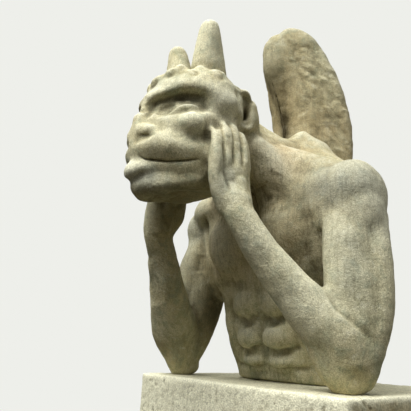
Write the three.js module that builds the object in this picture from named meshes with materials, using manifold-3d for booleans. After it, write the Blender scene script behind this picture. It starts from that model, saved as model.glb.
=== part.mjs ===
// A winged stone gargoyle that leans on its elbows, carved as one stone, on a parapet block.
// Millimetres, +Z up. The origin is the centre of the block's flat underside.
// The figure looks along -Y, and its own left side is +X.

import * as THREE from "three";
import { mergeVertices } from "three/addons/utils/BufferGeometryUtils.js";
import Module from "manifold-3d";

const wasm = await Module();
wasm.setup();

// Driving dimensions

const blockWidth = 560;
const blockDepth = 395;
const blockHeight = 130;
const arris = 5; // rounding of the block's edges
const seatGap = 0.3; // the figure's bed is this far above the block

const limbSides = 11;
const ballSides = 12;
const ballRings = 7;

// Joints of the figure's left side, measured from the top of the block.
// The right side is its mirror image in the plane x = 0.
const joint = {
  shoulder: [211, -58, 345],
  elbow: [229, -112, 48],
  wrist: [124, -266, 288],
  palm: [104, -262, 362],
  neckRoot: [0, 10, 410],
  nape: [0, -120, 455],
  skull: [0, -262, 478],
};

// Geometry helpers

function vector([x, y, z]) {
  return new THREE.Vector3(x, y, z);
}

function between(a, b, share) {
  return a.map((value, axis) => value + (b[axis] - value) * share);
}

function moved(point, x, y, z) {
  return [point[0] + x, point[1] + y, point[2] + z];
}

function solid(geometry) {
  const bare = geometry.clone();
  bare.deleteAttribute("normal");
  bare.deleteAttribute("uv");
  const merged = mergeVertices(bare, 1e-4);
  return new wasm.Manifold(
    new wasm.Mesh({
      numProp: 3,
      vertProperties: Float32Array.from(merged.attributes.position.array),
      triVerts: Uint32Array.from(merged.index.array),
    }),
  );
}

function geometryOf(body) {
  const mesh = body.getMesh();
  const geometry = new THREE.BufferGeometry();
  geometry.setAttribute("position", new THREE.BufferAttribute(mesh.vertProperties, 3));
  geometry.setIndex(new THREE.BufferAttribute(mesh.triVerts, 1));
  return geometry;
}

// A ball with three radii, turned about X, Y and Z in degrees.
function ball(centre, radii, turn = [0, 0, 0], sides = ballSides, rings = ballRings) {
  const geometry = new THREE.SphereGeometry(1, sides, rings);
  geometry.rotateX(Math.PI / 2);
  geometry.scale(...radii);
  const [x, y, z] = turn.map(THREE.MathUtils.degToRad);
  geometry.applyQuaternion(new THREE.Quaternion().setFromEuler(new THREE.Euler(x, y, z, "XYZ")));
  geometry.translate(...centre);
  return solid(geometry);
}

// A rounded bar through stations [point, half width, half depth].
// The half width lies along the across direction, and power below 1 makes the section boxier.
// tip lists the rings of each round end, in degrees from its base.
function limb(stations, { across = [1, 0, 0], steps = 2, sides = limbSides, power = 1, tip = [50] } = {}) {
  const path = new THREE.CatmullRomCurve3(stations.map(([point]) => vector(point)), false, "centripetal");
  const span = stations.length - 1;
  const rings = [];
  const radiiAt = (t) => {
    const place = Math.min(t * span, span - 1e-9);
    const index = Math.floor(place);
    const share = place - index;
    const ease = share * share * (3 - 2 * share);
    return [1, 2].map((k) => stations[index][k] + (stations[index + 1][k] - stations[index][k]) * ease);
  };
  const addRing = (centre, tangent, halfWidth, halfDepth) => {
    const side = vector(across);
    side.addScaledVector(tangent, -side.dot(tangent)).normalize();
    const depth = new THREE.Vector3().crossVectors(tangent, side);
    rings.push({ centre, side, depth, halfWidth, halfDepth });
  };
  const addCap = (t, way) => {
    const [halfWidth, halfDepth] = radiiAt(t);
    const tangent = path.getTangent(t);
    const reach = Math.min(halfWidth, halfDepth);
    const angles = way < 0 ? [...tip].reverse() : tip;
    for (const angle of angles.map(THREE.MathUtils.degToRad)) {
      const centre = path.getPoint(t).addScaledVector(tangent, way * reach * Math.sin(angle));
      addRing(centre, tangent, halfWidth * Math.cos(angle), halfDepth * Math.cos(angle));
    }
    return path.getPoint(t).addScaledVector(tangent, way * reach);
  };
  const startPole = addCap(0, -1);
  for (let k = 0; k <= span * steps; k += 1) {
    const t = k / (span * steps);
    addRing(path.getPoint(t), path.getTangent(t), ...radiiAt(t));
  }
  const endPole = addCap(1, 1);
  const positions = [startPole.toArray()];
  const bend = (value) => Math.sign(value) * Math.abs(value) ** power;
  for (const ring of rings) {
    for (let k = 0; k < sides; k += 1) {
      const angle = (2 * Math.PI * k) / sides;
      const point = ring.centre.clone();
      point.addScaledVector(ring.side, ring.halfWidth * bend(Math.cos(angle)));
      point.addScaledVector(ring.depth, ring.halfDepth * bend(Math.sin(angle)));
      positions.push(point.toArray());
    }
  }
  positions.push(endPole.toArray());
  const faces = [];
  const corner = (ring, k) => 1 + ring * sides + (k % sides);
  for (let k = 0; k < sides; k += 1) {
    faces.push(0, corner(0, k + 1), corner(0, k));
    for (let ring = 0; ring < rings.length - 1; ring += 1) {
      const [a, b] = [corner(ring, k), corner(ring, k + 1)];
      const [c, d] = [corner(ring + 1, k), corner(ring + 1, k + 1)];
      faces.push(a, b, d, a, d, c);
    }
    faces.push(positions.length - 1, corner(rings.length - 1, k), corner(rings.length - 1, k + 1));
  }
  const geometry = new THREE.BufferGeometry();
  geometry.setAttribute("position", new THREE.Float32BufferAttribute(positions.flat(), 3));
  geometry.setIndex(faces);
  return solid(geometry);
}

function joined(bodies) {
  return bodies.reduce((whole, body) => whole.add(body));
}

function withMirror(body) {
  return body.add(body.mirror([1, 0, 0]));
}

// Body masses, all measured from the top of the block

function torso() {
  const trunk = limb(
    [
      [[0, 28, -40], 134, 88],
      [[0, 28, 6], 135, 90],
      [[0, 27, 75], 152, 114],
      [[0, 24, 125], 155, 121],
      [[0, 18, 190], 160, 126],
      [[0, 10, 290], 162, 126],
      [[0, 10, 380], 148, 112],
      [[0, 0, 440], 100, 86],
    ],
    { power: 0.5, sides: 16 },
  );
  const skirt = limb([[[0, 28, -30], 138, 92], [[0, 28, 10], 138, 94]], { power: 0.5, steps: 1, sides: 16 });
  return trunk.add(skirt);
}

function abdomen() {
  const rows = [
    { height: 152, wide: 44, tall: 34, y: -92 },
    { height: 85, wide: 42, tall: 26, y: -85 },
    { height: 40, wide: 40, tall: 16, y: -70 },
  ];
  return joined(rows.map(({ height, wide, tall, y }) => ball([46, y, height], [wide, 18, tall], [0, 0, 8], 8, 5)));
}

function chest() {
  const pectoral = ball([86, -86, 284], [82, 62, 88], [0, 0, 10]);
  const ribs = ball([116, -38, 236], [56, 84, 84], [8, 0, 0]);
  const lat = ball([142, 34, 296], [58, 84, 128], [6, 10, 0]);
  const shoulderBlade = ball([92, 84, 325], [82, 44, 100], [-6, 6, 0]);
  return joined([pectoral, ribs, lat, shoulderBlade]);
}

function trapezius() {
  return limb(
    [
      [[16, -66, 450], 60, 70],
      [[48, -24, 470], 58, 66],
      [[92, -24, 424], 58, 56],
      [[140, -28, 384], 60, 52],
      [[196, -34, 352], 60, 50],
    ],
    { across: [0, 1, 0], sides: 10 },
  );
}

function collar() {
  return limb(
    [
      [[24, -76, 362], 40, 40],
      [[70, -80, 356], 46, 46],
      [[120, -68, 360], 48, 48],
      [[176, -60, 344], 52, 52],
    ],
    { across: [0, 1, 0], steps: 1, sides: 8 },
  );
}

function neck() {
  return limb(
    [
      [joint.neckRoot, 112, 96],
      [joint.nape, 84, 78],
      [[0, -215, 462], 76, 76],
    ],
    { sides: 13 },
  );
}

// swell is 0 for the left arm and 1 for the right one, whose forearm is fuller and stands further out.
function arm(swell) {
  const deltoid = ball(moved(joint.shoulder, 2, 0, -12), [53, 68, 72], [-14, 0, 0]);
  const along = (share, x = 0, y = 0) => moved(between(joint.shoulder, joint.elbow, share), x, y, 0);
  const upper = limb([
    [along(0.05, 0, 6), 50, 64],
    [along(0.35, -4, 0), 48, 61],
    [along(0.6, 0, 9), 52, 67],
    [along(0.85, -3, 6), 48, 59],
    [along(1, -5, 2), 41, 44],
  ]);
  const foreAt = (share, x, y, z) => moved(between(joint.elbow, joint.wrist, share), x, y, z);
  const fore = limb([
    [foreAt(0, -6, -5, 0), 43, 45],
    [foreAt(0.2, -1 + 5 * swell, -1 - 7 * swell, -1), 47 + 5 * swell, 45 + 5 * swell],
    [foreAt(0.48, -6 + 4 * swell, -5 - 6 * swell, -6), 39 + 6 * swell, 32 + 6 * swell],
    [foreAt(0.76, -6 + 2 * swell, -5 - 2 * swell, -6), 33, 27],
    [foreAt(1, -2, -2, -2), 26, 26],
  ]);
  const point = ball(moved(joint.elbow, -8, -5, -26), [32, 36, 30], [0, 0, 0], 8, 5);
  return joined([deltoid, upper, fore, point]);
}

function hand() {
  const palm = limb([
    [moved(joint.wrist, 0, 2, 6), 25, 32],
    [moved(joint.palm, 2, 3, -40), 24, 40],
    [moved(joint.palm, -6, 4, 14), 18, 41],
  ]);
  const fingerTops = [444, 458, 460, 450];
  const fingers = fingerTops.map((top, k) => {
    const y = -291 + 22.5 * k;
    return limb(
      [
        [[98, y, 368], 13, 11],
        [[97, y, 410], 12, 11],
        [[88, y, top - 9], 10, 10],
      ],
      { sides: 6, steps: 1, tip: [60] },
    );
  });
  const thumb = limb(
    [
      [[106, -282, 306], 14, 14],
      [[102, -298, 345], 13, 13],
      [[94, -302, 392], 10, 10],
    ],
    { sides: 6, steps: 1, tip: [60] },
  );
  return joined([palm, ...fingers, thumb]);
}

// Head

function skull() {
  const dome = ball(joint.skull, [88, 126, 90], [12, 0, 0], 16, 9);
  const muzzle = limb(
    [
      [[0, -265, 412], 84, 66],
      [[0, -332, 412], 66, 58],
      [[0, -376, 412], 40, 42],
    ],
    { power: 0.85, sides: 14 },
  );
  const lowerJaw = limb(
    [
      [[0, -255, 370], 74, 40],
      [[0, -320, 363], 62, 36],
      [[0, -371, 351], 42, 29],
    ],
    { power: 0.85, sides: 14 },
  );
  const nose = limb(
    [
      [[0, -373, 483], 18, 17],
      [[0, -396, 443], 24, 18],
      [[0, -399, 419], 30, 18],
    ],
    { sides: 10, steps: 1 },
  );
  const tongue = limb(
    [
      [[0, -368, 368], 31, 18],
      [[0, -400, 350], 25, 14],
    ],
    { sides: 8, steps: 1 },
  );
  const lip = limb(
    [
      [[-68, -318, 384], 13, 12],
      [[-44, -374, 380], 13, 13],
      [[0, -400, 378], 13, 14],
      [[44, -374, 380], 13, 13],
      [[68, -318, 384], 13, 12],
    ],
    { across: [0, 0, 1], sides: 8, steps: 1 },
  );
  return joined([dome, muzzle, lowerJaw, nose, tongue, lip]);
}

function brow() {
  const ridge = limb(
    [
      [[-82, -272, 518], 20, 22],
      [[-64, -336, 506], 20, 22],
      [[0, -374, 500], 19, 21],
      [[64, -336, 506], 20, 22],
      [[82, -272, 518], 20, 22],
    ],
    { across: [0, 0, 1], sides: 8 },
  );
  const forehead = ball([0, -300, 520], [76, 74, 44], [-20, 0, 0]);
  return ridge.add(forehead);
}

function cheek() {
  return limb(
    [
      [[74, -258, 462], 18, 20],
      [[64, -318, 448], 18, 18],
      [[40, -360, 444], 16, 15],
    ],
    { across: [0, 0, 1], sides: 8, steps: 1 },
  );
}

function eyeHollow() {
  return limb(
    [
      [[24, -394, 477], 12, 14],
      [[64, -364, 479], 18, 22],
      [[92, -306, 483], 12, 18],
    ],
    { across: [0, 0, 1], sides: 8 },
  );
}

function ear() {
  return limb(
    [
      [[72, -222, 532], 14, 16],
      [[86, -206, 516], 16, 26],
      [[84, -190, 494], 14, 20],
      [[76, -178, 474], 10, 12],
    ],
    { sides: 8, steps: 1 },
  );
}

function horn() {
  return limb(
    [
      [[46, -268, 550], 30, 40],
      [[50, -275, 600], 26, 34],
      [[54, -283, 645], 22, 27],
      [[56, -286, 670], 20, 22],
    ],
    { sides: 10, steps: 1, tip: [35, 65] },
  );
}

function curls() {
  const count = 4;
  const radius = 17;
  return joined(
    Array.from({ length: count }, (_, k) => {
      const angle = ((k + 0.5) / count) * (Math.PI / 2);
      const x = 76 * Math.sin(angle);
      const y = -246 - 116 * Math.cos(angle);
      const z = 534 + 30 * Math.sin(2 * angle);
      return ball([x, y, z], [radius, radius, radius], [0, 0, 0], 8, 5);
    }),
  );
}

// Wing: a flat blade rising from the spine, swept back and out, with a rounded tip.

const wing = {
  root: { x: 8, y: -29, z: 526 },
  sweep: 35, // degrees from straight back
  thickness: 36,
  edge: 10,
  lean: 36, // how far the front edge comes forward over leanHeight
  leanHeight: 200,
  outline: [
    [12, 250],
    [10, 526],
    [10, 618],
    [8, 700],
    [4, 750],
    [6, 786],
    [34, 816],
    [64, 816],
    [98, 792],
    [130, 738],
    [152, 682],
    [163, 620],
    [164, 560],
    [151, 470],
    [120, 360],
    [70, 270],
  ],
};

function wingLean(z) {
  const share = THREE.MathUtils.clamp((z - wing.root.z) / wing.leanHeight, -1, 1);
  return wing.lean * share;
}

function wingBlade() {
  const outline = new THREE.SplineCurve(wing.outline.map(([s, z]) => new THREE.Vector2(s, z)));
  const blade = new THREE.ExtrudeGeometry(new THREE.Shape(outline.getPoints(20)), {
    depth: wing.thickness - 2 * wing.edge,
    bevelThickness: wing.edge,
    bevelSize: wing.edge,
    bevelOffset: -wing.edge,
    bevelSegments: 1,
    steps: 1,
  });
  blade.translate(0, 0, wing.edge - wing.thickness / 2);
  blade.rotateX(Math.PI / 2);
  blade.rotateZ(Math.PI / 2 - THREE.MathUtils.degToRad(wing.sweep));
  blade.translate(wing.root.x, wing.root.y, 0);
  const places = blade.attributes.position;
  for (let k = 0; k < places.count; k += 1) {
    places.setY(k, places.getY(k) - wingLean(places.getZ(k)));
  }
  return solid(blade);
}

// The thick front edge that closes the wings' hollow towards the head.
function wingFront() {
  return limb(
    [
      [[9, 4, 480], 22, 22],
      [[9, -14, 600], 23, 23],
      [[9, -42, 710], 23, 23],
      [[6, -48, 766], 22, 22],
    ],
    { steps: 1, sides: 8 },
  );
}

function wings() {
  return joined([wingBlade(), wingFront()]);
}

function figure() {
  const half = joined([abdomen(), chest(), trapezius(), collar(), hand(), cheek(), ear(), horn(), curls(), wings()]);
  const arms = arm(0).add(arm(1).mirror([1, 0, 0]));
  let body = withMirror(half).add(joined([torso(), neck(), skull(), brow(), arms]));
  body = body.subtract(withMirror(eyeHollow()));
  const under = new THREE.BoxGeometry(2000, 2000, 400);
  under.translate(0, 0, seatGap - 200);
  return body.subtract(solid(under));
}

function block() {
  const half = [blockWidth / 2 - arris, blockDepth / 2 - arris];
  const plan = new THREE.Shape([
    new THREE.Vector2(-half[0], -half[1]),
    new THREE.Vector2(half[0], -half[1]),
    new THREE.Vector2(half[0], half[1]),
    new THREE.Vector2(-half[0], half[1]),
  ]);
  const geometry = new THREE.ExtrudeGeometry(plan, {
    depth: blockHeight - arris,
    bevelThickness: arris,
    bevelSize: arris,
    bevelSegments: 4,
    steps: 1,
  });
  const under = new THREE.BoxGeometry(2000, 2000, 400);
  under.translate(0, 0, -200);
  return solid(geometry).subtract(solid(under));
}

// Scene graph

function stone(colour) {
  return new THREE.MeshStandardMaterial({ color: colour, roughness: 0.95, metalness: 0 });
}

function piece(name, body, colour, height) {
  const mesh = new THREE.Mesh(geometryOf(body), stone(colour));
  mesh.name = name;
  mesh.position.z = height;
  return mesh;
}

const gargoyle = new THREE.Group();
gargoyle.add(piece("gargoyle_figure", figure(), 0xb3ab90, blockHeight));
gargoyle.add(piece("parapet_block", block(), 0xb9b3a0, 0));

export default gargoyle;
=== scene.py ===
import math

import bpy
import numpy as np
from mathutils import Euler, Matrix, Vector, noise
from mathutils.bvhtree import BVHTree
from mathutils.kdtree import KDTree


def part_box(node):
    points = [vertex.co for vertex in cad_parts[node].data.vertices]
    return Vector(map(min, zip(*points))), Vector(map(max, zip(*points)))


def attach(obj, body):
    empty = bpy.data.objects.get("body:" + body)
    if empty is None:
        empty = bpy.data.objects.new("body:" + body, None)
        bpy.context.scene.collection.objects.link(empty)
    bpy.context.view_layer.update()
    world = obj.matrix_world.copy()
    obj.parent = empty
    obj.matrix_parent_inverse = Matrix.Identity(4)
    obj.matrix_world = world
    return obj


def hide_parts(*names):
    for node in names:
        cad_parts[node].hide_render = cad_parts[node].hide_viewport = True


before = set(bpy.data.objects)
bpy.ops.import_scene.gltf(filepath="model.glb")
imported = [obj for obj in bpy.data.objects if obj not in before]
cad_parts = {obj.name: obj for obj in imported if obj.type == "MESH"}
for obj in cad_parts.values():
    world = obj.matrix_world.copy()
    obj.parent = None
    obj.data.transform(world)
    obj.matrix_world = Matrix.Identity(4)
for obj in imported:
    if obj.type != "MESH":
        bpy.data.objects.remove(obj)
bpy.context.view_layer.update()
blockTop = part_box("parapet_block")[1].z
mm = 0.001
print("frame loaded, block top at", round(blockTop, 4))


# Places are in millimetres from the middle of the block's top, as a carver would set them out.
def placed(point):
    return Vector((point[0] * mm, point[1] * mm, blockTop + point[2] * mm))


def selectOnly(*pieces):
    bpy.ops.object.select_all(action="DESELECT")
    for piece in pieces:
        piece.select_set(True)
    bpy.context.view_layer.objects.active = pieces[0]


def applyModifier(piece, kind, **settings):
    selectOnly(piece)
    modifier = piece.modifiers.new(kind.title(), kind)
    for name, value in settings.items():
        setattr(modifier, name, value)
    bpy.ops.object.modifier_apply(modifier=modifier.name)


def joinAll(pieces, name):
    selectOnly(*pieces)
    bpy.ops.object.join()
    joined = bpy.context.view_layer.objects.active
    joined.name = name
    joined.data.name = name
    return joined


def shadeSmooth(piece):
    for face in piece.data.polygons:
        face.use_smooth = True


def copyOfNode(node, name):
    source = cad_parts[node]
    piece = bpy.data.objects.new(name, source.data.copy())
    bpy.context.scene.collection.objects.link(piece)
    selectOnly(piece)
    bpy.ops.object.mode_set(mode="EDIT")
    bpy.ops.mesh.select_all(action="SELECT")
    bpy.ops.mesh.remove_doubles(threshold=0.00002)
    bpy.ops.object.mode_set(mode="OBJECT")
    piece.data.materials.clear()
    return piece


# Camera and stage

cameraSet = {
    "place": (0.70845, -0.75848, 0.1896),
    "heading": 53.846,  # degrees from +Y towards -X
    "pitch": 16.793,
    "roll": 2.2085,
    "lens": 41.174,
}


def makeCamera():
    bpy.ops.object.camera_add(location=cameraSet["place"])
    camera = bpy.context.object
    heading = math.radians(cameraSet["heading"])
    pitch = math.radians(cameraSet["pitch"])
    roll = math.radians(cameraSet["roll"])
    level = Vector((math.cos(heading), math.sin(heading), 0))
    ahead = Vector((-math.sin(heading), math.cos(heading), 0))
    forward = ahead * math.cos(pitch) + Vector((0, 0, math.sin(pitch)))
    lift = level.cross(forward)
    right = math.cos(roll) * level + math.sin(roll) * lift
    above = -math.sin(roll) * level + math.cos(roll) * lift
    camera.rotation_euler = Matrix((right, above, -forward)).transposed().to_euler()
    camera.data.lens = cameraSet["lens"]
    camera.data.sensor_width = 36
    bpy.context.scene.camera = camera


stageSet = {
    "backdrop": (0.855, 0.863, 0.823, 1),
    "skyAbove": (1.0, 1.0, 0.98, 1),
    "skyBelow": (0.012, 0.010, 0.006, 1),
    "skyStrength": 1.30,
    "floorSize": 14.0,
    "floorPaper": (0.53, 0.535, 0.51, 1),
    "floorBounce": (0.05, 0.042, 0.028, 1),
    "shadowReach": (0.42, 0.66),
}


def makeSky():
    world = bpy.data.worlds.new("softSky")
    bpy.context.scene.world = world
    world.use_nodes = True
    nodes, links = world.node_tree.nodes, world.node_tree.links
    nodes.clear()
    out = nodes.new("ShaderNodeOutputWorld")
    backdrop = nodes.new("ShaderNodeBackground")
    backdrop.inputs["Color"].default_value = stageSet["backdrop"]
    sky = nodes.new("ShaderNodeBackground")
    sky.inputs["Strength"].default_value = stageSet["skyStrength"]
    coords = nodes.new("ShaderNodeTexCoord")
    split = nodes.new("ShaderNodeSeparateXYZ")
    ramp = nodes.new("ShaderNodeValToRGB")
    ramp.color_ramp.elements[0].position = 0.50
    ramp.color_ramp.elements[0].color = stageSet["skyBelow"]
    ramp.color_ramp.elements[1].position = 1.0
    ramp.color_ramp.elements[1].color = stageSet["skyAbove"]
    lift = nodes.new("ShaderNodeMath")
    lift.operation = "MULTIPLY_ADD"
    lift.inputs[1].default_value = 0.5
    lift.inputs[2].default_value = 0.5
    mix = nodes.new("ShaderNodeMixShader")
    path = nodes.new("ShaderNodeLightPath")
    links.new(coords.outputs["Generated"], split.inputs[0])
    links.new(split.outputs["Z"], lift.inputs[0])
    links.new(lift.outputs[0], ramp.inputs[0])
    links.new(ramp.outputs[0], sky.inputs["Color"])
    links.new(path.outputs["Is Camera Ray"], mix.inputs[0])
    links.new(sky.outputs[0], mix.inputs[1])
    links.new(backdrop.outputs[0], mix.inputs[2])
    links.new(mix.outputs[0], out.inputs["Surface"])


# The floor takes a shadow near the block and melts into the backdrop further out.
def makeFloor():
    size = stageSet["floorSize"]
    bpy.ops.mesh.primitive_circle_add(vertices=96, radius=size, fill_type="NGON", location=(0, 0, 0))
    floor = bpy.context.object
    floor.name = "pale_floor"
    material = bpy.data.materials.new("palePaper")
    material.use_nodes = True
    nodes, links = material.node_tree.nodes, material.node_tree.links
    out = nodes["Material Output"]
    shader = nodes["Principled BSDF"]
    shader.inputs["Base Color"].default_value = stageSet["floorPaper"]
    shader.inputs["Roughness"].default_value = 1.0
    shader.inputs["Specular IOR Level"].default_value = 0.0
    glow = nodes.new("ShaderNodeEmission")
    glow.inputs["Color"].default_value = stageSet["backdrop"]
    dark = nodes.new("ShaderNodeBsdfDiffuse")
    dark.inputs["Color"].default_value = stageSet["floorBounce"]
    coords = nodes.new("ShaderNodeTexCoord")
    length = nodes.new("ShaderNodeVectorMath")
    length.operation = "LENGTH"
    fade = nodes.new("ShaderNodeMapRange")
    fade.interpolation_type = "SMOOTHSTEP"
    fade.inputs["From Min"].default_value = stageSet["shadowReach"][0]
    fade.inputs["From Max"].default_value = stageSet["shadowReach"][1]
    path = nodes.new("ShaderNodeLightPath")
    seen = nodes.new("ShaderNodeMixShader")
    bounced = nodes.new("ShaderNodeMixShader")
    links.new(coords.outputs["Object"], length.inputs[0])
    links.new(length.outputs["Value"], fade.inputs["Value"])
    links.new(fade.outputs[0], seen.inputs[0])
    links.new(shader.outputs[0], seen.inputs[1])
    links.new(glow.outputs[0], seen.inputs[2])
    links.new(path.outputs["Is Camera Ray"], bounced.inputs[0])
    links.new(dark.outputs[0], bounced.inputs[1])
    links.new(seen.outputs[0], bounced.inputs[2])
    links.new(bounced.outputs[0], out.inputs["Surface"])
    floor.data.materials.append(material)


def addLamp(name, place, aim, size, power, colour):
    bpy.ops.object.light_add(type="AREA", location=place)
    lamp = bpy.context.object
    lamp.name = name
    lamp.data.size = size
    lamp.data.energy = power
    lamp.data.color = colour
    lamp.rotation_euler = (Vector(aim) - Vector(place)).to_track_quat("-Z", "Y").to_euler()


bpy.context.scene.view_settings.view_transform = "Standard"
makeCamera()
makeSky()
makeFloor()
addLamp("skylight", (0.35, -1.5, 2.6), (0, -0.1, 0.5), 1.3, 96, (1.0, 0.99, 0.95))
print("camera and stage set")


# Carving tools

def curved(stations, spacing):
    given = np.array(stations, float)
    padded = np.vstack([2 * given[0] - given[1], given, 2 * given[-1] - given[-2]])
    rows = []
    for k in range(len(given) - 1):
        a, b, c, d = padded[k:k + 4]
        steps = max(1, math.ceil(np.linalg.norm((c - b)[:3]) / spacing))
        t = (np.arange(steps) / steps)[:, None]
        rows.append(0.5 * (2 * b + (c - a) * t + (2 * a - 5 * b + 4 * c - d) * t ** 2
                           + (3 * b - a - 3 * c + d) * t ** 3))
    rows.append(given[-1:])
    return np.vstack(rows)


def makeTemplate():
    bpy.ops.mesh.primitive_uv_sphere_add(segments=20, ring_count=12, radius=1, location=(0, 0, 0))
    ball = bpy.context.object
    ball.name = "lump"
    return ball


class Lumps:
    def __init__(self):
        self.template = makeTemplate()
        self.pieces = []

    def ball(self, place, size, turn=(0, 0, 0)):
        piece = bpy.data.objects.new("lump", self.template.data.copy())
        angles = Euler([math.radians(angle) for angle in turn])
        stretch = Matrix.Diagonal((size[0] * mm, size[1] * mm, size[2] * mm, 1))
        piece.data.transform(Matrix.Translation(placed(place)) @ angles.to_matrix().to_4x4() @ stretch)
        bpy.context.scene.collection.objects.link(piece)
        self.pieces.append(piece)

    def bar(self, *stations):
        thinnest = min(station[3] for station in stations)
        for x, y, z, radius in curved(stations, max(1.6, thinnest * 0.42)):
            self.ball((x, y, z), (radius, radius, radius))

    # Nearly everything is set out for the left side and mirrored.
    def joined(self, name, mirrored=True):
        bpy.data.objects.remove(self.template)
        piece = joinAll(self.pieces, name)
        if mirrored:
            applyModifier(piece, "MIRROR", use_axis=(True, False, False), use_mirror_merge=False)
        return piece


# Moves the skin of a piece in and out, both sides at once unless a side is given.
class Clay:
    def __init__(self, piece):
        self.piece = piece
        self.count = len(piece.data.vertices)
        flat = np.empty(self.count * 3, np.float32)
        piece.data.vertices.foreach_get("co", flat)
        self.points = flat.reshape(-1, 3).astype(float) / mm
        self.points[:, 2] -= blockTop / mm
        self.readNormals()
        self.fold()
        self.skin = BVHTree.FromPolygons(self.folded.tolist(), self.polygons())

    # Both sides of the piece laid over each other.
    def fold(self):
        self.folded = self.points.copy()
        self.folded[:, 0] = np.abs(self.folded[:, 0])

    def polygons(self):
        faces = self.piece.data.polygons
        corners = np.empty(len(self.piece.data.loops), np.int32)
        self.piece.data.loops.foreach_get("vertex_index", corners)
        starts = np.empty(len(faces), np.int32)
        faces.foreach_get("loop_start", starts)
        return [part.tolist() for part in np.split(corners, starts[1:])]

    def readNormals(self):
        flat = np.empty(self.count * 3, np.float32)
        self.piece.data.vertices.foreach_get("normal", flat)
        self.normals = flat.reshape(-1, 3).astype(float)

    def near(self, low, high):
        inside = np.all((self.folded > low) & (self.folded < high), axis=1)
        return np.nonzero(inside)[0]

    def snapped(self, path):
        rows = [self.skin.find_nearest(point)[0] for point in path.tolist()]
        return np.array([list(row) for row in rows])

    # A negative depth cuts in, a positive one raises.
    def stroke(self, stations, width, depth, sharp=False, taper=0.18, side=0):
        path = self.snapped(curved(stations, max(1.5, width * 0.7)))
        reach = width if sharp else width * 2.4
        chosen = self.near(path.min(axis=0) - reach, path.max(axis=0) + reach)
        chosen = chosen[self.points[chosen, 0] * side >= 0]
        if not len(chosen):
            return
        spots = self.folded[chosen]
        best = np.full(len(chosen), 1e9)
        along = np.zeros(len(chosen))
        last = len(path) - 1
        for k in range(last):
            a = path[k]
            run = path[k + 1] - a
            share = np.clip((spots - a) @ run / max(1e-9, run @ run), 0, 1)
            gap = np.linalg.norm(spots - a - share[:, None] * run, axis=1)
            closer = gap < best
            best[closer] = gap[closer]
            along[closer] = (k + share[closer]) / last
        ends = np.clip(np.minimum(along, 1 - along) / max(taper, 1e-6) + 0.15, 0, 1)
        profile = np.clip(1 - best / width, 0, 1) ** 1.5 if sharp else np.exp(-(best / width) ** 2)
        self.points[chosen] += self.normals[chosen] * (depth * profile * ends)[:, None]

    def dent(self, place, size, depth, turn=(0, 0, 0), toward=None):
        reach = max(size) * 2.2
        chosen = self.near(np.array(place) - reach, np.array(place) + reach)
        if not len(chosen):
            return
        back = np.array(Euler([math.radians(angle) for angle in turn]).to_matrix())
        local = (self.folded[chosen] - place) @ back / np.array(size, float)
        weight = np.exp(-np.sum(local ** 2, axis=1)) * depth
        if toward is None:
            self.points[chosen] -= self.normals[chosen] * weight[:, None]
            return
        step = np.tile(np.array(toward, float), (len(chosen), 1))
        step[:, 0] *= np.where(self.points[chosen, 0] < 0, -1, 1)
        self.points[chosen] += step * weight[:, None]

    def write(self):
        out = self.points.copy()
        out[:, 2] += blockTop / mm
        self.piece.data.vertices.foreach_set("co", (out * mm).astype(np.float32).ravel())
        self.piece.data.update()
        self.readNormals()
        self.fold()


# Figure: trunk and arms

bodySet = {
    "roughVoxel": 0.0045,
    "roughSmooth": 14,
    "fineVoxel": 0.0029,
    "fineSmooth": 5,
    "blendSmooth": 6,
    "softRounds": (26, 4, 7),  # extra smoothing of the broad forms, the details and the carved lines
    "faces": 194000,
    "seat": 0.3,  # gap under the figure
    "rightElbow": (5.5, 7.5),  # how far out and forward
}


def trunkLumps(add):
    # chest and belly
    add.ball((86, -72, 240), (62, 38, 64), (0, 0, 14))
    add.ball((56, -80, 222), (54, 38, 34), (0, 0, 8))
    add.ball((44, -88, 152), (41, 24, 35))
    add.ball((38, -84, 84), (36, 25, 28))
    add.ball((37, -72, 39), (34, 22, 16))
    add.ball((98, -64, 120), (34, 30, 62), (0, 8, 0))
    for k in range(4):
        drop = 30 * k
        add.bar((150 - 4 * k, -28, 232 - drop, 10), (136 - 5 * k, -58, 218 - drop, 11),
                (114 - 6 * k, -80, 202 - drop, 8))
    # neck and collar run into the chest and the shoulder without a break
    add.bar((58, -152, 424, 33), (60, -122, 388, 38), (60, -98, 350, 43), (56, -84, 300, 46))
    add.bar((68, -172, 446, 24), (74, -138, 416, 34), (88, -108, 388, 42), (112, -84, 360, 46))
    add.bar((24, -82, 362, 40), (64, -84, 358, 44), (104, -76, 362, 45), (146, -66, 364, 46),
            (180, -60, 350, 50))
    add.bar((60, -56, 440, 38), (108, -52, 408, 44), (152, -52, 378, 46))
    add.bar((100, -84, 310, 44), (140, -72, 316, 48), (170, -66, 320, 50))
    add.bar((96, -82, 372, 46), (128, -78, 338, 48), (146, -74, 290, 48), (154, -68, 236, 42),
            (156, -56, 192, 32))
    add.bar((80, -94, 396, 40), (112, -84, 368, 46), (148, -74, 344, 48))
    add.bar((66, -116, 434, 34), (98, -92, 412, 40), (138, -72, 384, 44), (176, -60, 360, 46))
    # the thick front edge shared by both wings
    add.bar((9, 4, 500, 23), (9, -6, 560, 23), (9, -27, 640, 24), (7, -46, 706, 26), (0, -50, 762, 27))
    add.ball((0, -45, 776), (27, 24, 26))
    add.ball((10, -24, 790), (20, 24, 24))
    # back
    add.bar((16, 110, 26, 14), (17, 133, 90, 14), (17, 138, 150, 14), (16, 136, 220, 14),
            (14, 126, 310, 13), (12, 108, 385, 12))
    add.ball((92, 84, 320), (52, 30, 62), (12, 0, -14))
    add.bar((150, 40, 350, 22), (104, 92, 372, 14), (60, 96, 380, 10))
    add.ball((118, 62, 200), (52, 56, 90), (0, 10, 0))


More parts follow.
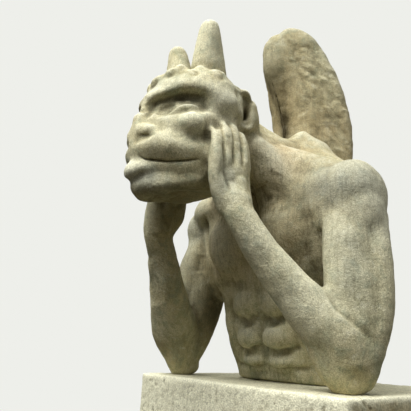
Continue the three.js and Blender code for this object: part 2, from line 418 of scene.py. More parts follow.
def armLumps(add):
    # upper arm
    add.ball((212, -67, 338), (52, 61, 62))
    add.ball((217, -66, 290), (50, 56, 80), (0, 4, 0))
    add.bar((206, -92, 300, 32), (218, -106, 240, 37), (223, -112, 170, 38), (226, -114, 110, 36))
    add.bar((229, -48, 290, 34), (233, -62, 220, 41), (237, -74, 140, 42), (236, -91, 80, 37),
            (231, -104, 36, 33))
    # forearm
    add.bar((226, -118, 50, 38), (215, -133, 80, 45), (199, -155, 109, 42), (184, -176, 135, 36),
            (164, -204, 176, 30), (143, -234, 224, 28), (129, -256, 263, 26))
    add.bar((228, -120, 74, 34), (222, -146, 100, 30), (208, -170, 126, 22))
    add.bar((206, -142, 64, 33), (215, -131, 38, 33), (222, -120, 20, 30))
    add.ball((226, -106, 20), (30, 34, 22))


def trunkStrokes(clay):
    cut = clay.stroke
    # middle line and the borders of the chest
    cut([(0, -104, 350), (0, -112, 280), (0, -114, 210)], 10, -4)
    cut([(0, -112, 200), (0, -106, 140), (0, -96, 90), (0, -84, 34)], 10, -4)
    cut([(6, -118, 186), (44, -122, 184), (88, -116, 188), (118, -102, 196)], 12, -4.5, taper=0.5)
    cut([(4, -106, 386), (12, -98, 396)], 18, -8)
    # belly rows
    cut([(0, -102, 122), (36, -104, 112), (74, -96, 120), (98, -84, 134)], 10, -7)
    cut([(0, -90, 62), (34, -92, 54), (70, -82, 60), (92, -74, 72)], 7, -7)
    cut([(0, -80, 26), (34, -78, 21), (70, -74, 24), (104, -58, 32)], 5, -5)
    cut([(86, -102, 176), (92, -98, 130), (86, -88, 80), (80, -78, 30)], 9, -5)
    # pit between neck and chest
    cut([(104, -146, 388), (84, -140, 352)], 20, -2)
    # border of shoulder and chest
    cut([(174, -122, 270), (178, -124, 250), (182, -118, 226)], 10, -3)
    cut([(146, -118, 372), (156, -120, 330), (154, -122, 290), (138, -124, 248), (110, -120, 214)],
        8, -9, side=-1)
    cut([(60, -150, 376), (64, -148, 354), (72, -142, 334)], 12, -5, side=1)
    # spine and shoulder blades
    cut([(0, 124, 30), (0, 146, 120), (0, 144, 220), (0, 132, 320), (0, 96, 420)], 9, -5, taper=0.3)
    cut([(46, 136, 236), (92, 130, 250), (136, 92, 270)], 18, -4, taper=0.5)
    cut([(150, 66, 250), (146, 90, 190), (132, 116, 120)], 20, -3, taper=0.5)
    # nape, and the front edge of the wings
    clay.dent((20, -84, 508), (60, 46, 34), 13, toward=(0, 0, -1))
    clay.dent((60, -148, 492), (34, 36, 24), 12, toward=(-0.4, 0, -0.9))
    clay.dent((26, -36, 570), (30, 36, 60), 20, toward=(-0.5, 0.8, 0))
    clay.dent((26, -48, 650), (28, 30, 46), 8, toward=(-0.5, 0.8, 0))
    # fold where the shoulder hump overlaps the wing
    cut([(28, -20, 500), (60, 0, 478), (100, 20, 452), (140, 30, 430)], 8, -4)


def armStrokes(clay):
    cut = clay.stroke
    # the right elbow rests a little further out
    x, z = clay.points[:, 0], clay.points[:, 2]
    moved = np.exp(-((z - 60) / 120) ** 2) * np.clip((-150 - x) / 40, 0, 1)
    outward, forward = bodySet["rightElbow"]
    clay.points[:, 0] -= outward * moved
    clay.points[:, 1] -= forward * moved
    # folds of the upper arm
    cut([(250, -92, 262), (262, -68, 256), (266, -40, 266)], 18, -1.2)
    cut([(178, -108, 270), (186, -128, 200), (196, -140, 140)], 12, -2.5)
    # crease of the elbow and the edge of the forearm
    cut([(210, -160, 136), (234, -156, 118), (254, -138, 102), (266, -108, 76)], 6, -3)
    cut([(206, -140, 28), (190, -172, 70), (160, -206, 140), (128, -240, 216), (108, -262, 278)], 9, 1.4)
    # bone of the wrist
    clay.dent((136, -246, 268), (10, 10, 13), -2.5)


# The left shoulder runs into the chest; the right one stands clear of it.
def leftSideLumps(add):
    add.bar((100, -84, 310, 44), (140, -80, 318, 48), (176, -82, 326, 46), (208, -84, 322, 44))
    add.bar((120, -88, 344, 42), (160, -84, 348, 44), (200, -80, 344, 46))
    add.bar((176, -86, 326, 42), (184, -92, 300, 36), (186, -96, 272, 27), (186, -96, 244, 18))


# The right arm is not quite the left one's mirror image.
def rightSideLumps(add):
    add.ball((-190, -72, 362), (50, 52, 42))
    add.ball((-160, -96, 370), (58, 46, 43))
    add.bar((-144, -258, 254, 23), (-130, -274, 286, 24), (-122, -281, 318, 24), (-114, -284, 345, 22))
    add.bar((-218, -152, 90, 37), (-197, -188, 140, 33), (-176, -217, 186, 28), (-152, -246, 232, 25))


# Head, horns and ears

def headLumps(add):
    # broad forms: forehead, brow, cheek, muzzle, jaw
    add.ball((0, -292, 526), (84, 78, 34), (-16, 0, 0))
    add.ball((28, -318, 508), (66, 66, 24), (-8, 0, 30))
    add.bar((0, -374, 497, 26), (34, -360, 504, 27), (60, -330, 508, 29), (76, -292, 510, 30),
            (80, -256, 502, 26))
    add.bar((0, -350, 524, 30), (34, -337, 530, 31), (60, -307, 533, 32), (72, -272, 532, 30),
            (78, -244, 516, 22))
    add.bar((72, -290, 492, 27), (78, -262, 488, 25), (79, -238, 492, 21))
    add.bar((0, -366, 512, 26), (34, -352, 518, 28), (60, -322, 522, 30), (76, -284, 520, 28))
    add.bar((0, -368, 450, 36), (36, -346, 440, 36), (58, -308, 444, 38), (60, -262, 456, 38))
    add.bar((0, -373, 402, 43), (32, -352, 401, 45), (48, -306, 402, 44), (48, -262, 400, 44))
    add.bar((0, -354, 354, 32), (28, -340, 354, 32), (44, -304, 360, 34), (48, -262, 372, 38))
    add.bar((0, -344, 338, 22), (36, -314, 342, 20), (56, -272, 358, 20), (64, -236, 386, 20))
    # horns
    add.bar((43, -281, 556, 35), (48, -286, 600, 30), (54, -288, 642, 25), (58, -289, 671, 21))


def faceDetails(add):
    add.bar((0, -380, 484, 16), (0, -384, 462, 20), (0, -386, 440, 26), (0, -388, 422, 25))
    add.ball((27, -376, 422), (24, 26, 20))
    add.bar((0, -379, 331, 26), (34, -353, 333, 23), (58, -308, 346, 18))
    add.ball((60, -336, 474), (34, 20, 22), (0, -10, 50))
    add.ball((64, -328, 436), (34, 34, 30), (0, -8, 45))
    # tongue
    add.bar((0, -366, 366, 26), (0, -388, 359, 25), (0, -400, 351, 20))
    add.bar((20, -366, 362, 20), (10, -388, 356, 21), (4, -398, 351, 19))
    # ear
    add.bar((82, -243, 512, 7), (87, -235, 532, 6), (91, -220, 539, 5.5), (93, -206, 524, 5.5),
            (92, -197, 500, 6), (88, -195, 482, 6.5), (82, -204, 470, 7))
    add.bar((80, -243, 504, 8), (78, -233, 482, 7), (80, -216, 470, 7))


def curlSpots():
    spots = []
    for k in range(5):
        angle = math.radians(3 + 23 * k)
        drop = 4 * math.sin(2.6 * k)
        high = 553 - 16 * (k / 4) ** 2 - 10 * (1 - k / 4) ** 2 + drop
        spots.append((80 * math.sin(angle), -252 - 110 * math.cos(angle), high, angle))
    return spots


def curlLumps(add):
    for k, (x, y, z, angle) in enumerate(curlSpots()):
        size = (17, 18, 19, 22, 17)[k]
        add.ball((x, y, z), (size * 1.15, size, size * 0.95), (0, 0, math.degrees(angle)))
        behind = (x * 0.72, y + 24, z + 6)
        add.ball(behind, (size, size * 1.2, size * 0.9), (0, 0, math.degrees(angle)))


def headStrokes(clay):
    cut = clay.stroke
    # socket, first broad, then the fold under the brow
    cut([(26, -392, 468), (48, -370, 474), (72, -338, 482), (90, -300, 490)], 16, -9)
    cut([(14, -402, 474), (34, -388, 485), (62, -354, 495), (88, -310, 502)], 9, -10)
    cut([(18, -400, 470), (28, -392, 462)], 12, -6)
    # eyeball
    cut([(44, -372, 471), (62, -348, 475), (78, -318, 480)], 12, 7.5, taper=0.4)
    # cheek and the hollow under it
    cut([(34, -390, 446), (56, -366, 443), (80, -330, 450), (94, -296, 466)], 14, 2)
    cut([(90, -300, 486), (90, -272, 496), (84, -246, 500)], 18, 5)
    cut([(50, -374, 412), (74, -338, 414), (90, -302, 424), (97, -274, 438)], 18, -4.5)
    # nose wing
    cut([(14, -412, 452), (34, -404, 450), (50, -388, 436), (54, -376, 412)], 10, -4)
    cut([(12, -414, 424), (30, -406, 430), (44, -394, 422)], 11, 4.5)
    cut([(0, -404, 470), (0, -412, 446)], 10, 3, taper=0.5)
    # muzzle
    cut([(12, -410, 398), (38, -390, 396), (62, -352, 398)], 18, 2)
    cut([(26, -396, 334), (48, -366, 334), (70, -322, 344)], 12, -2)
    cut([(30, -392, 352), (24, -402, 338), (0, -412, 331)], 7, -4, taper=0.4)
    # hollow underside of the jaw
    clay.dent((0, -322, 312), (52, 56, 22), 14, toward=(0, 0, 1))
    # forehead, back of the ear and of the horn
    clay.dent((0, -376, 520), (50, 24, 18), 7, toward=(0, 1, -0.4))
    clay.dent((95, -196, 500), (14, 20, 30), 7, toward=(-0.8, -0.6, 0))
    clay.dent((52, -240, 590), (30, 22, 40), 6, toward=(0, -1, 0))
    # ear hollow
    clay.dent((92, -218, 506), (10, 13, 24), 22, (-16, 0, 0), toward=(-0.85, 0.5, 0))
    clay.dent((94, -214, 496), (9, 9, 18), 10, (-16, 0, 0), toward=(-0.85, 0.5, 0))
    # hollow between ear and temple
    cut([(86, -250, 530), (84, -252, 500), (84, -246, 470)], 9, -5)
    # roots of the horns
    cut([(20, -268, 576), (36, -302, 576), (62, -306, 574), (84, -278, 568)], 7, -3)


# Finer lines of the face, cut after the broad forms have been smoothed.
def faceLines(clay):
    cut = clay.stroke
    cut([(28, -392, 462), (48, -372, 457), (70, -342, 463), (90, -304, 478)], 6, -1.8)
    cut([(30, -390, 470), (48, -372, 471), (68, -342, 475), (84, -314, 482)], 2.6, -2.2)
    cut([(32, -388, 478), (54, -364, 486), (76, -332, 489)], 3.4, 1.4)
    cut([(6, -404, 490), (10, -402, 508)], 6, -2.5)
    cut([(0, -408, 478), (12, -404, 475), (24, -398, 470)], 5, -2.5)
    clay.dent((28, -406, 409), (15, 10, 6), 7, toward=(0, 0.7, 0.7))
    cut([(8, -414, 402), (30, -404, 404), (48, -388, 412)], 5, -2.5)
    cut([(20, -406, 376), (32, -394, 369), (50, -370, 367), (66, -340, 372), (76, -316, 379)], 3.4, -8,
        sharp=True, taper=0.25)
    cut([(30, -398, 358), (48, -374, 356), (66, -338, 361), (78, -308, 370)], 9, 2)


def curlStrokes(clay):
    for k, (x, y, z, angle) in enumerate(curlSpots()):
        out = np.array([math.sin(angle), -math.cos(angle)])
        side = np.array([math.cos(angle), math.sin(angle)])
        turns = []
        for step in range(6):
            swing = math.radians(190 + 25 * k + 46 * step)
            reach = 11 - 1.3 * step
            flat = np.array([x, y]) + out * 14 + side * reach * math.cos(swing)
            turns.append((flat[0], flat[1], z + reach * math.sin(swing)))
        clay.stroke(turns, 4, -2.6, taper=0.3)


# Hands

handSet = {
    "knuckles": 372,
    "fingers": ((-301, 440, 10.5), (-281, 454, 11), (-260, 457, 10.5), (-242, 448, 9)),
}


def handLumps(add):
    base = handSet["knuckles"]
    for k, (y, top, size) in enumerate(handSet["fingers"]):
        lean = 2 * (k - 1.5) + 3
        add.bar((108, y + 2, base - 34, size), (111, y, base, size + 0.6),
                (108, y + lean * 0.6, base + 22, size), (103, y + lean, 0.5 * (base + top) + 8, size),
                (97, y + lean, top - 12, size - 1), (91, y + lean, top - 4, size - 2))
    add.ball((106, -260, 342), (20, 36, 42), (0, 0, 6))
    add.ball((101, -272, 400), (16, 38, 46), (0, 0, 4))
    add.bar((112, -274, 290, 20), (107, -287, 316, 18), (104, -294, 342, 16), (103, -297, 372, 14),
            (101, -298, 400, 11))
    add.bar((122, -262, 280, 24), (115, -260, 306, 24), (110, -258, 332, 22))


def handStrokes(clay):
    cut = clay.stroke
    fingers = handSet["fingers"]
    for k in range(3):
        y = 0.5 * (fingers[k][0] + fingers[k + 1][0])
        lean = 2 * (k - 1) + 3
        cut([(122, y, 364), (118, y + lean * 0.5, 392), (110, y + lean, 424), (98, y + lean, 450)],
            2.8, -3.2)
    cut([(128, -284, 306), (126, -288, 330), (122, -292, 352)], 3, -2)
    for y, _, _ in fingers:
        cut([(112, y - 6, 416), (112, y + 6, 416)], 2.2, -1)


# Wings

wingSet = {
    "root": (8, -29),
    "sweep": 35,
    "lean": 36,
    "leanFrom": 526,
    "leanOver": 200,
    "rim": 22,
    "feather": (17, 30),
    "slant": 40,
    "relief": 6.0,
    "tipTop": 814,
    "reach": 176,
}


def wingPlace(folded):
    sweep = math.radians(wingSet["sweep"])
    lean = np.clip((folded[:, 2] - wingSet["leanFrom"]) / wingSet["leanOver"], -1, 1) * wingSet["lean"]
    x = folded[:, 0] - wingSet["root"][0]
    y = folded[:, 1] - wingSet["root"][1] + lean
    along = x * math.sin(sweep) + y * math.cos(sweep)
    across = x * math.cos(sweep) - y * math.sin(sweep)
    return along, across


# Rolls the tip and the rear edge of each blade over to a round rim.
def wingRim(clay):
    along, across = wingPlace(clay.folded)
    high = clay.folded[:, 2]
    on = (np.abs(across) < 34) & (high > 600) & (along > -12)
    tip = np.clip((wingSet["tipTop"] - high) / 76, 0, 1)
    rear = np.clip((172 - along) / 44, 0, 1)
    keep = np.sqrt(1 - (1 - tip) ** 2) * np.sqrt(1 - (1 - rear) ** 2)
    shift = np.where(on, across * (0.2 + 0.8 * keep - 1), 0)
    sweep = math.radians(wingSet["sweep"])
    clay.points[:, 0] += shift * math.cos(sweep) * np.where(clay.points[:, 0] < 0, -1, 1)
    clay.points[:, 1] -= shift * math.sin(sweep)


def wingRelief(clay):
    along, across = wingPlace(clay.folded)
    high = clay.folded[:, 2]
    on = np.nonzero((np.abs(across) < 30) & (high > 380) & (along > -12) & (along < wingSet["reach"]))[0]
    slant = math.radians(wingSet["slant"])
    sweep = math.radians(wingSet["sweep"])
    wide, tall = wingSet["feather"]
    for index in on:
        s, h, t = along[index], high[index], across[index]
        sideways = 1 if clay.points[index, 0] > 0 else -1
        facing = abs(clay.normals[index, 0] * sideways * math.cos(sweep)
                     - clay.normals[index, 1] * math.sin(sweep))
        near = (0 if t > 0 else 7.3) + (0 if sideways > 0 else 3.9)
        wobble = noise.noise((s / 34, h / 34, near)) * 0.55
        a = (s * math.cos(slant) - h * math.sin(slant)) / tall + wobble
        b = (s * math.sin(slant) + h * math.cos(slant)) / wide - wobble
        gaps = noise.voronoi((a, b, near))[0]
        dome = 0.75 - gaps[0] * 0.8 + 0.55 * noise.noise((a * 0.8, b * 0.8, near + 5))
        worn = 0.5 + 0.5 * max(-1, min(1, 2.0 * noise.noise((s / 50, h / 50, near + 3))))
        front = min(1.0, max(0.0, (s - wingSet["rim"]) / 20))
        top = min(1.0, max(0.0, (790 - h) / 46))
        low = min(1.0, max(0.0, (h - 400) / 60))
        depth = wingSet["relief"] * (0.4 + 0.6 * worn) * front * top * low * facing
        clay.points[index] += clay.normals[index] * depth * (dome - 0.35)


# Slow unevenness of hand-cut, worn stone.
def unevenness(clay, amounts):
    for index in range(clay.count):
        x, y, z = clay.points[index]
        swell = 0
        for size, height in amounts:
            swell += noise.noise((x / size + 3.1, y / size - 1.7, z / size + 9.2)) * height
        clay.points[index] += clay.normals[index] * swell


# Weathering with painted light and shade, kept as values on the points of the finished mesh

def storeValues(piece, **layers):
    for name, values in layers.items():
        attribute = piece.data.attributes.new(name, "FLOAT", "POINT")
        attribute.data.foreach_set("value", np.clip(values, 0, 1).astype(np.float32))


def neighbourMean(piece, values):
    edges = np.empty(len(piece.data.edges) * 2, np.int32)
    piece.data.edges.foreach_get("vertices", edges)
    first, second = edges[0::2], edges[1::2]
    count = len(piece.data.vertices)
    degree = np.bincount(first, minlength=count) + np.bincount(second, minlength=count)
    columns = []
    for column in values.T:
        total = np.bincount(first, column[second], count) + np.bincount(second, column[first], count)
        columns.append(total / np.maximum(degree, 1))
    return np.stack(columns, axis=1)


# How far each point stands proud of the skin around it.
def proudness(clay, rounds):
    smooth = clay.points
    for _ in range(rounds):
        smooth = neighbourMean(clay.piece, smooth)
    return np.sum((clay.points - smooth) * clay.normals, axis=1)


# How much of the open air round each point is closed off by stone; it darkens sheltered places as
# painted shade.
def shelter(clay):
    reach, rays = shelterSet["reach"], shelterSet["rays"]
    chance = np.random.default_rng(shelterSet["seed"])
    faces = BVHTree.FromPolygons(clay.points.tolist(), clay.polygons())
    chosen = chance.choice(clay.count, min(shelterSet["samples"], clay.count), replace=False)
    tree = KDTree(len(chosen))
    closed = np.zeros(len(chosen))
    for row, index in enumerate(chosen):
        start, normal = clay.points[index], clay.normals[index]
        tree.insert(start, row)
        aims = chance.normal(size=(rays, 3))
        aims /= np.linalg.norm(aims, axis=1)[:, None]
        aims = aims * 0.98 + normal
        aims /= np.linalg.norm(aims, axis=1)[:, None]
        hits = 0
        for aim in aims.tolist():
            distance = faces.ray_cast(start + normal * 1.2, aim, reach)[3]
            if distance is not None:
                hits += 1 - distance / reach
        closed[row] = hits / rays
    tree.balance()
    spread = np.empty(clay.count)
    for index, point in enumerate(clay.points.tolist()):
        found = tree.find_n(point, 6)
        weights = [1 / (gap + 1) for _, _, gap in found]
        spread[index] = sum(closed[row] * w for (_, row, _), w in zip(found, weights)) / sum(weights)
    for _ in range(3):
        spread = neighbourMean(clay.piece, spread[:, None])[:, 0]
    return spread


# Soft-edged patches of stain, painted shade or painted light: place and size in mm, then strength.
def stains(clay, spots, oneSided=True):
    total = np.zeros(clay.count)
    points = clay.points if oneSided else clay.folded
    for place, size, strength in spots:
        local = (points - place) / np.array(size, float)
        total += strength * np.exp(-np.sum(local ** 2, axis=1))
    return total


# Stone material

class Shade:
    def __init__(self, name):
        self.material = bpy.data.materials.new(name)
        self.material.use_nodes = True
        self.tree = self.material.node_tree
        self.shader = self.tree.nodes["Principled BSDF"]
        self.coords = self.add("ShaderNodeTexCoord").outputs["Object"]

    def add(self, kind, **settings):
        made = self.tree.nodes.new(kind)
        for name, value in settings.items():
            setattr(made, name, value)
        return made

    def feed(self, value, socket):
        if isinstance(value, bpy.types.NodeSocket):
            self.tree.links.new(value, socket)
        else:
            socket.default_value = value

    def value(self, name):
        return self.add("ShaderNodeAttribute", attribute_name=name).outputs["Fac"]

    def noise(self, scale, detail=3.0, rough=0.55, stretch=None, warp=0.0):
        spot = self.coords
        if stretch:
            mapping = self.add("ShaderNodeMapping")
            self.feed(spot, mapping.inputs["Vector"])
            mapping.inputs["Scale"].default_value = stretch
            spot = mapping.outputs[0]
        made = self.add("ShaderNodeTexNoise")
        self.feed(spot, made.inputs["Vector"])
        self.feed(scale, made.inputs["Scale"])
        self.feed(detail, made.inputs["Detail"])
        self.feed(rough, made.inputs["Roughness"])
        self.feed(warp, made.inputs["Distortion"])
        return made.outputs[0]

    def ramp(self, value, low, high, start=0.0, end=1.0):
        made = self.add("ShaderNodeMapRange", interpolation_type="SMOOTHSTEP")
        for place, given in enumerate((value, low, high, start, end)):
            self.feed(given, made.inputs[place])
        return made.outputs[0]

    def times(self, first, second):
        made = self.add("ShaderNodeMath", operation="MULTIPLY")
        self.feed(first, made.inputs[0])
        self.feed(second, made.inputs[1])
        return made.outputs[0]

    def mix(self, amount, first, second, blend="MIX"):
        made = self.add("ShaderNodeMix", data_type="RGBA", blend_type=blend)
        self.feed(amount, made.inputs[0])
        self.feed(first, made.inputs[6])
        self.feed(second, made.inputs[7])
        return made.outputs[2]

    def bump(self, height, distance, strength, normal=None):
        made = self.add("ShaderNodeBump")
        self.feed(height, made.inputs["Height"])
        made.inputs["Distance"].default_value = distance
        made.inputs["Strength"].default_value = strength
        if normal:
            self.feed(normal, made.inputs["Normal"])
        return made.outputs[0]


stoneSet = {
    "cream": (0.610, 0.575, 0.372, 1),
    "beige": (0.480, 0.425, 0.245, 1),
    "tan": (0.420, 0.300, 0.150, 1),
    "olive": (0.250, 0.240, 0.125, 1),
    "lichen": (0.285, 0.320, 0.215, 1),
    "cool": (0.375, 0.410, 0.375, 1),
    # dark colour of dirt, also used for painted shade
    "dirtAndShade": (0.060, 0.047, 0.020, 1),
    # pale stone colour, also used for painted highlight
    "pale": (0.750, 0.740, 0.570, 1),
}


def stoneMaterial(name, grainSize, streakiness, lift):
    shade = Shade(name)
    broad = shade.noise(5.0, 3.0, 0.6)
    patch = shade.noise(14.0, 6.0, 0.68, warp=0.5)
    mottle = shade.noise(44.0, 6.0, 0.70, warp=0.3)
    stain = shade.noise(1.0, 5.0, 0.62, stretch=(26, 26, 9))
    grain = shade.noise(grainSize, 2.0, 0.6)
    coarse = shade.noise(grainSize * 0.34, 3.0, 0.7)
    streak = shade.noise(1.0, 4.0, 0.65, stretch=(170, 170, 13))

    colour = shade.mix(shade.ramp(broad, 0.38, 0.62), stoneSet["cream"], stoneSet["beige"])
    layers = (
        (patch, 0.50, 0.66, 0.60, "olive"),
        (stain, 0.54, 0.66, 0.42, "lichen"),
        (mottle, 0.50, 0.64, 0.55, "lichen"),
        (mottle, 0.46, 0.34, 0.35, "pale"),
    )
    for pattern, low, high, amount, stone in layers:
        cover = shade.times(shade.ramp(pattern, low, high), amount)
        colour = shade.mix(cover, colour, stoneSet[stone])
    warm = shade.times(shade.value("warm"), shade.ramp(mottle, 0.25, 0.60, 0.6, 1.0))
    colour = shade.mix(warm, colour, stoneSet["tan"])
    cool = shade.times(shade.value("cool"), shade.ramp(patch, 0.30, 0.60, 0.55, 1.0))
    colour = shade.mix(cool, colour, stoneSet["cool"])
    # Painted highlight with wear: the pale colour on ridges, on upward and front faces and on listed
    # spots.
    colour = shade.mix(shade.value("crest"), colour, stoneSet["pale"])
    # Painted shade with dirt: the dark colour where stone is sheltered, creased or listed as shaded.
    grime = shade.times(shade.value("grime"), shade.ramp(mottle, 0.20, 0.62, 0.75, 1.0))
    colour = shade.mix(grime, colour, stoneSet["dirtAndShade"])
    speck = shade.ramp(grain, 0.30, 0.70, 0.74 * lift, 1.18 * lift)
    colour = shade.mix(1.0, colour, speck, "MULTIPLY")
    lines = shade.times(shade.value("streaks"), shade.ramp(streak, 0.47, 0.66))
    colour = shade.mix(shade.times(lines, streakiness), colour, stoneSet["dirtAndShade"])
    pits = shade.ramp(coarse, 0.60, 0.72)
    colour = shade.mix(shade.times(pits, 0.30), colour, stoneSet["dirtAndShade"])
    shade.feed(colour, shade.shader.inputs["Base Color"])
    shade.shader.inputs["Roughness"].default_value = 0.93
    shade.shader.inputs["Specular IOR Level"].default_value = 0.22
    normal = shade.bump(mottle, 0.0030, 0.60)
    normal = shade.bump(coarse, 0.0016, 0.80, normal)
    normal = shade.bump(streak, 0.0014, 0.40, normal)
    normal = shade.bump(grain, 0.0008, 0.80, normal)
    shade.feed(normal, shade.shader.inputs["Normal"])
    return shade.material


shelterSet = {
    "reach": 150,
    "samples": 15000,
    "rays": 26,
    "seed": 4,
}


def weatherAndLightOnFigure(body):
    clay = Clay(body)
    closed = shelter(clay)
    fine = proudness(clay, 3)
    wide = proudness(clay, 14)
    # Painted shade mixed with dirt: darker where stone closes off the air and in creases and hollows.
    grime = np.clip((closed - 0.22) * 1.15, 0, 0.75)
    grime += np.clip(-fine * 0.32, 0, 0.24) + np.clip(-wide * 0.08, 0, 0.25)
    # Painted shade under the jaw and on the neck beside the hand.
    grime += stains(clay, (
        ((0, -330, 318), (120, 110, 30), 0.45),
        ((60, -120, 372), (40, 40, 36), 0.15),
    ), False)
    # Ridges paler, as wear and painted highlight; only on faces turned up, as painted light from above.
    crest = np.clip(fine * 0.55, 0, 0.4) + np.clip(wide * 0.10, 0, 0.3)
    crest += stains(clay, (((0, -375, 520), (60, 50, 22), 0.5),), False)
    crest *= np.clip(0.35 + clay.normals[:, 2], 0, 1)
    # Painted light on listed spots: brow, temple, tongue tip, back of the arm, neck, horn, forearm and
    # right chest.
    crest += stains(clay, (
        ((60, -330, 430), (80, 90, 60), 0.26),
        ((90, -250, 500), (30, 60, 50), 0.45),
        ((0, -402, 354), (34, 34, 22), 0.75),
        ((262, -20, 290), (46, 60, 90), 0.45),
        ((266, -66, 294), (40, 40, 50), 0.45),
        ((104, -286, 492), (30, 34, 30), 0.50),
        ((90, -150, 405), (50, 50, 44), 0.45),
    ), False)
    crest += stains(clay, (
        ((64, -290, 630), (40, 40, 70), 0.35),
        ((190, -196, 140), (50, 60, 70), 0.36),
        ((140, -250, 230), (40, 40, 60), 0.20),
        ((-72, -142, 262), (40, 34, 60), 0.50),
        ((90, -175, 427), (34, 40, 40), 0.30),
    ))
    # Painted shade on the right arm and painted light on the right chest and upper arm and on the left
    # forearm; a horn patch darkened.
    rightSide = stains(clay, (
        ((-222, -110, 200), (60, 70, 110), 0.42),
        ((-200, -90, 120), (60, 80, 60), 0.40),
        ((-80, -140, 285), (60, 34, 60), -0.42),
        ((-205, -120, 300), (40, 40, 60), -0.15),
        ((176, -200, 150), (50, 60, 70), -0.10),
        ((-160, -228, 210), (34, 40, 80), -0.12),
        ((-56, -284, 640), (40, 40, 70), 0.22),
    ))
    # Painted shade on the chest beside the arm, in the armpits and by the elbows.
    grime += stains(clay, (
        ((70, -110, 120), (130, 70, 130), 0.05),
        ((124, -130, 280), (50, 60, 90), 0.46),
        ((160, -110, 300), (40, 60, 90), 0.40),
        ((166, -90, 200), (34, 60, 60), 0.95),
        ((150, -120, 232), (36, 50, 44), 0.50),
        ((176, -60, 60), (30, 60, 80), 0.60),
        ((66, -146, 352), (30, 30, 34), 0.35),
        ((-176, -60, 60), (30, 60, 80), 0.50),
    )) * np.clip(1.2 - np.abs(clay.folded[:, 0]) / 190, 0, 1)
    grime += stains(clay, (
        ((6, -66, 620), (34, 30, 120), 0.75),
        ((6, -40, 520), (34, 34, 60), 0.40),
    ), False)
    grime += rightSide
    # Painted shade under the brow, on the shoulder, arm, hand and elbow; the negative entries are
    # painted light on the neck, temple and wing.
    grime += stains(clay, (
        ((58, -366, 486), (40, 44, 12), 0.50),
        ((48, -376, 456), (26, 26, 9), 0.22),
        ((222, -90, 360), (70, 80, 60), 0.14),
        ((228, -100, 396), (56, 56, 26), 0.18),
        ((204, -122, 330), (34, 40, 60), 0.16),
        ((228, -140, 250), (60, 60, 90), 0.12),
        ((60, 40, 770), (70, 80, 46), 0.24),
        ((92, -172, 424), (40, 50, 50), -0.42),
        ((80, -70, 488), (40, 40, 30), 0.16),
        ((250, -152, 146), (30, 34, 30), 0.22),
        ((40, -10, 510), (60, 50, 30), 0.12),
        ((60, 30, 660), (70, 80, 50), -0.14),
        ((90, -262, 500), (26, 44, 40), -0.30),
        ((26, -392, 476), (18, 20, 12), 0.30),
        ((84, -300, 424), (16, 40, 16), 0.22),
        ((100, -240, 380), (50, 60, 60), 0.12),
        ((112, -280, 340), (30, 34, 60), 0.10),
        ((226, -120, 26), (44, 50, 34), 0.14),
    ), False)
    warm = stains(clay, (
        ((90, -130, 420), (54, 70, 56), 0.95),
        ((70, -110, 260), (110, 60, 90), 0.45),
        ((60, 60, 520), (140, 120, 130), 0.40),
        ((20, -30, 640), (50, 50, 120), 0.35),
    ), False)
    # The wings darker, more so in their hollows.
    onWings = band(clay.folded[:, 2], 520, 900, 40) * (clay.folded[:, 1] > -120)
    grime += 0.30 * onWings * (0.6 + 0.4 * (wide < 0))
    cool = stains(clay, (
        ((0, -405, 352), (36, 30, 24), 0.6),
        ((30, -390, 335), (30, 34, 16), 0.5),
        ((225, -100, 345), (80, 70, 60), 0.75),
        ((228, -130, 200), (60, 50, 70), 0.40),
        ((150, -240, 230), (40, 40, 50), 0.35),
        ((118, -290, 330), (26, 26, 44), 0.50),
        ((200, -190, 130), (44, 44, 34), 0.15),
        ((60, -30, 470), (60, 40, 30), 0.30),
        ((0, -392, 520), (60, 40, 20), 0.50),
    ), False)
    streaks = 0.35 + stains(clay, (
        ((90, -110, 280), (90, 60, 110), 0.65),
        ((215, -60, 220), (50, 80, 110), 0.35),
        ((0, -80, 20), (160, 60, 30), 0.45),
        ((60, -130, 400), (60, 60, 60), 0.60),
    ), False)
    storeValues(body, grime=grime, crest=crest, warm=warm, cool=cool, streaks=streaks)


def band(value, low, high, edge):
    return np.clip((value - low) / edge, 0, 1) * np.clip((high - value) / edge, 0, 1)


def faceShare(clay):
    x, y, z = clay.folded.T
    return band(z, 316, 560, 15) * np.clip((-236 - y) / 24, 0, 1) * np.where((z < 470) & (x > 84), 0, 1)


def chestShare(clay):
    x, y, z = clay.folded.T
    return 0.85 * band(y, -196, -40, 25) * band(z, 225, 470, 35) * np.clip((190 - x) / 30, 0, 1)


def bellyShare(clay):
    x, y, z = clay.folded.T
    return 0.8 * band(y, -140, -56, 14) * band(z, 12, 205, 16) * np.clip((118 - x) / 14, 0, 1)


def smoothWhere(body, share, rounds):
    group = body.vertex_groups.new(name="soft")
    for index in np.nonzero(share > 0.02)[0]:
        group.add([int(index)], float(share[index]), "REPLACE")
    applyModifier(body, "SMOOTH", factor=0.5, iterations=rounds, vertex_group="soft")
    body.vertex_groups.clear()


# Blends the broad forms into each other; face and chest get more of it than the rest.
def blended(body, voxel, rounds, softRounds):
    applyModifier(body, "REMESH", mode="VOXEL", voxel_size=voxel)
    applyModifier(body, "SMOOTH", factor=0.5, iterations=rounds)
    clay = Clay(body)
    smoothWhere(body, np.maximum(faceShare(clay), chestShare(clay)), softRounds)


def withLumps(body, *layers, mirrored=True):
    add = Lumps()
    for layer in layers:
        layer(add)
    return joinAll([body, add.joined("lumps", mirrored)], "carved_gargoyle")


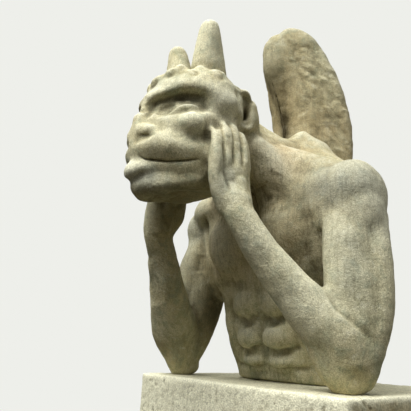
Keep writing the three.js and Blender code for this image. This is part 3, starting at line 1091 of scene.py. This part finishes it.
def carveFigure():
    broadSoft, detailSoft, carvedSoft = bodySet["softRounds"]
    body = copyOfNode("gargoyle_figure", "carved_gargoyle")
    applyModifier(body, "REMESH", mode="VOXEL", voxel_size=bodySet["roughVoxel"])
    applyModifier(body, "SMOOTH", factor=0.5, iterations=bodySet["roughSmooth"])
    body = withLumps(body, headLumps, trunkLumps, armLumps)
    body = withLumps(body, leftSideLumps, rightSideLumps, mirrored=False)
    blended(body, bodySet["roughVoxel"], bodySet["blendSmooth"], broadSoft)
    body = withLumps(body, faceDetails, curlLumps, handLumps)
    blended(body, bodySet["fineVoxel"], bodySet["fineSmooth"], detailSoft)
    print("figure remeshed", len(body.data.vertices))
    clay = Clay(body)
    trunkStrokes(clay)
    armStrokes(clay)
    headStrokes(clay)
    wingRim(clay)
    clay.write()
    smoothWhere(body, np.maximum(faceShare(clay), bellyShare(clay)), carvedSoft)
    clay = Clay(body)
    faceLines(clay)
    handStrokes(clay)
    clay.write()
    curlStrokes(clay)
    wingRelief(clay)
    unevenness(clay, ((46, 1.5), (17, 0.7), (8, 0.35)))
    clay.points[:, 2] = np.maximum(clay.points[:, 2], bodySet["seat"])
    clay.write()
    print("figure carved")
    share = bodySet["faces"] / (2 * len(body.data.polygons))
    applyModifier(body, "DECIMATE", ratio=min(1.0, share))
    shadeSmooth(body)
    return body


body = carveFigure()
weatherAndLightOnFigure(body)
body.data.materials.append(stoneMaterial("figureStone", 560.0, 0.46, 1.0))
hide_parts("gargoyle_figure")
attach(body, "root")
print("figure weathered", len(body.data.vertices), "vertices", len(body.data.polygons), "faces")


# Block

blockSet = {
    "voxel": 0.0036,
    "smooth": 4,
    "wornArris": 2.6,
    "swell": 0.6,
}


def carveBlock():
    block = copyOfNode("parapet_block", "weathered_block")
    applyModifier(block, "REMESH", mode="VOXEL", voxel_size=blockSet["voxel"])
    applyModifier(block, "SMOOTH", factor=0.5, iterations=blockSet["smooth"])
    clay = Clay(block)
    low, high = clay.points.min(axis=0), clay.points.max(axis=0)
    unevenness(clay, ((70, 1.1), (19, 0.8), (7, 0.5)))
    arris = proudness(clay, 10)
    for index in np.nonzero(arris > 0.25)[0]:
        x, y, z = clay.points[index]
        wear = noise.noise((x / 26, y / 26, z / 26)) + 0.6 * noise.noise((x / 9, y / 9, z / 9))
        clay.points[index] -= clay.normals[index] * max(0, wear - 0.1) * blockSet["wornArris"]
    clay.points = np.clip(clay.points, low - blockSet["swell"], high + blockSet["swell"])
    clay.points[:, 2] = np.minimum(clay.points[:, 2], 0)
    under = clay.points[:, 2] < low[2] + 2.5
    clay.points[under, 2] = low[2]
    clay.write()
    shadeSmooth(block)
    return block


def weatherAndLightOnBlock(block):
    clay = Clay(block)
    fine = proudness(clay, 3)
    wide = proudness(clay, 12)
    high = clay.points[:, 2]
    front = np.clip(-clay.normals[:, 1], 0, 1)
    right = np.clip(clay.normals[:, 0], 0, 1)
    top = np.clip(clay.normals[:, 2], 0, 1)
    # Painted shadow where the figure sits and where the elbow rests.
    contactShadow = stains(clay, (
        ((0, 40, 0), (150, 110, 20), 0.7),
        ((226, -110, 0), (46, 46, 20), 0.6),
    ), False)
    # Creases darker as dirt and painted shade, painted shadow where the figure rests, and darker towards
    # the bottom.
    grime = np.clip(-fine * 0.9, 0, 0.5) + contactShadow * 0.6 + np.clip((-100 - high) / 60, 0, 0.35)
    # The right side darker: painted shade.
    grime += right * 0.26
    # Front and top faces lighter: painted light; paler arrises as wear and painted highlight.
    crest = np.clip(0.06 + front * 0.80 + top * 0.55 + wide * 0.28, 0, 0.92)
    warm = stains(clay, (((280, 60, -60), (80, 200, 90), 0.40),))
    cool = stains(clay, (((-120, -200, -40), (120, 60, 60), 0.30),))
    streaks = 0.25 + 0.35 * (high < high.max() - 4)
    storeValues(block, grime=grime, crest=crest, warm=warm, cool=cool, streaks=streaks)


block = carveBlock()
weatherAndLightOnBlock(block)
block.data.materials.append(stoneMaterial("blockStone", 380.0, 0.25, 1.16))
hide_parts("parapet_block")
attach(block, "root")
print("block weathered", len(block.data.polygons), "faces")
